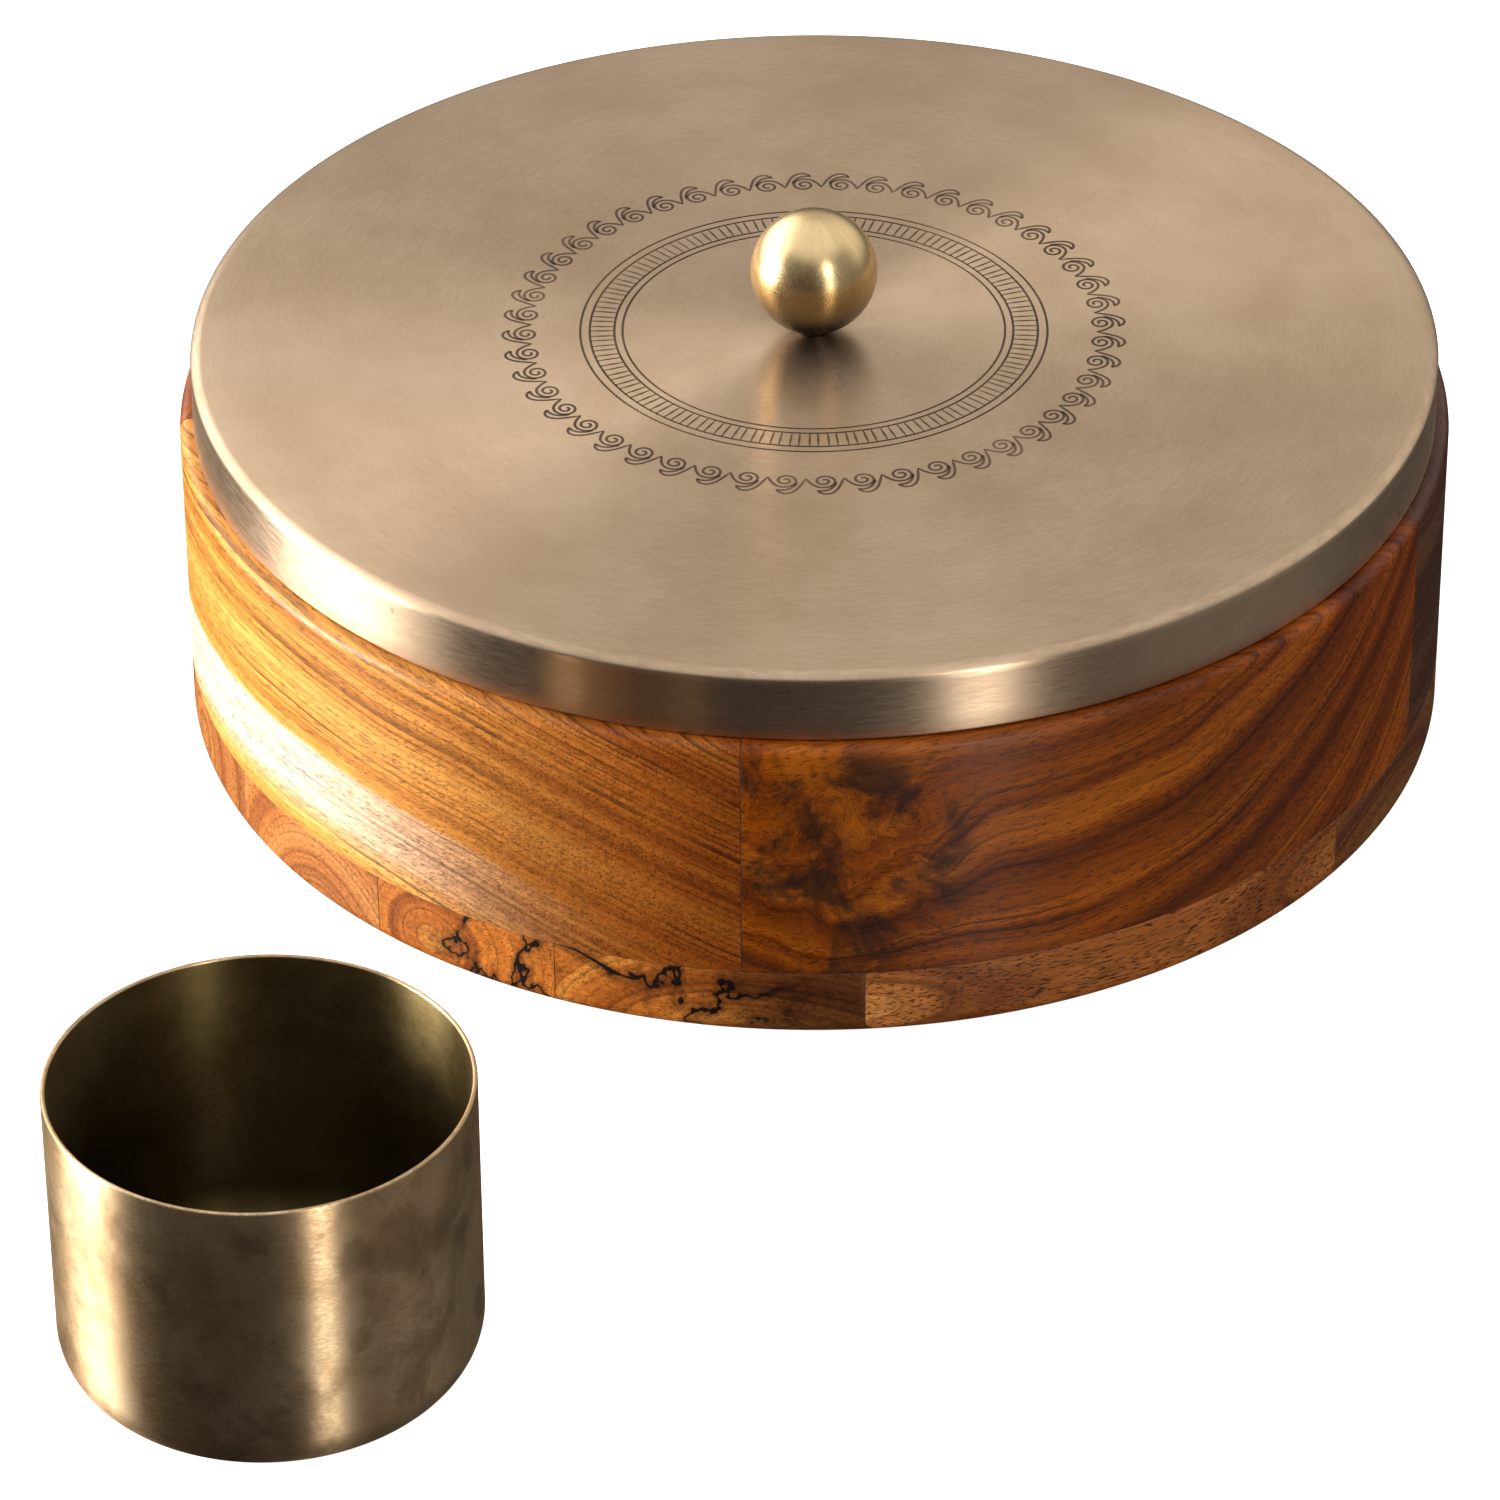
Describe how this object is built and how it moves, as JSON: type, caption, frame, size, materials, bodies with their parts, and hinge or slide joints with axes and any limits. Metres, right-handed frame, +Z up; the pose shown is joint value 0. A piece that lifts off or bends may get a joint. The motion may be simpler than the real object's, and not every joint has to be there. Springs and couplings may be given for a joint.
{
  "type": "spice box",
  "caption": "Round wooden spice box with a brushed brass lid, ball knob and engraved rings, holding straight-sided brass cups, one of them standing outside beside it.",
  "frame": {"origin": "centre of the wooden base's underside", "axes": "+Z up; the cup that stands outside is at the front left, towards -Y and -X"},
  "size_m": [0.2505, 0.3681, 0.1023],
  "materials": {
    "wall_wood": "oiled and lacquered, fine satin",
    "floor_wood": "oiled and lacquered, fine satin",
    "lid_brass": "antique brass, brushed in circles",
    "knob_brass": "antique brass, satin",
    "cup_brass": "antique brass, brushed round the wall",
    "fixings": "plain zinc plate"
  },
  "bodies": {
    "base": {"wall_segment_1": "wall_wood", "wall_segment_2": "wall_wood", "wall_segment_3": "wall_wood", "wall_segment_4": "wall_wood", "wall_segment_5": "wall_wood", "floor_strip_1": "floor_wood", "floor_strip_2": "floor_wood", "floor_strip_3": "floor_wood", "floor_strip_4": "floor_wood", "floor_strip_5": "floor_wood", "floor_strip_6": "floor_wood", "floor_strip_7": "floor_wood"},
    "lid": {"lid_shell": "lid_brass", "knob_ball": "knob_brass", "knob_collar": "knob_brass", "knob_washer": "fixings", "knob_screw": "fixings"},
    "cup_centre": {"cup_centre": "cup_brass"},
    "cup_ring_1": {"cup_ring_1": "cup_brass"},
    "cup_ring_2": {"cup_ring_2": "cup_brass"},
    "cup_ring_3": {"cup_ring_3": "cup_brass"},
    "cup_ring_4": {"cup_ring_4": "cup_brass"},
    "cup_ring_5": {"cup_ring_5": "cup_brass"},
    "cup_outside": {"cup_outside": "cup_brass"}
  },
  "joints": [
    {"name": "lid_lift", "type": "slide", "parent": "base", "child": "lid", "axis": [0, 0, 1], "range_m": [0, 0.15]},
    {"name": "cup_centre_lift", "type": "slide", "parent": "base", "child": "cup_centre", "axis": [0, 0, 1], "range_m": [0, 0.0025]},
    {"name": "cup_ring_1_lift", "type": "slide", "parent": "base", "child": "cup_ring_1", "axis": [0, 0, 1], "range_m": [0, 0.0025]},
    {"name": "cup_ring_2_lift", "type": "slide", "parent": "base", "child": "cup_ring_2", "axis": [0, 0, 1], "range_m": [0, 0.0025]},
    {"name": "cup_ring_3_lift", "type": "slide", "parent": "base", "child": "cup_ring_3", "axis": [0, 0, 1], "range_m": [0, 0.0025]},
    {"name": "cup_ring_4_lift", "type": "slide", "parent": "base", "child": "cup_ring_4", "axis": [0, 0, 1], "range_m": [0, 0.0025]},
    {"name": "cup_ring_5_lift", "type": "slide", "parent": "base", "child": "cup_ring_5", "axis": [0, 0, 1], "range_m": [0, 0.0025]},
    {"name": "cup_outside_lift", "type": "slide", "parent": "base", "child": "cup_outside", "axis": [0, 0, 1], "range_m": [0, 0.1]}
  ]
}
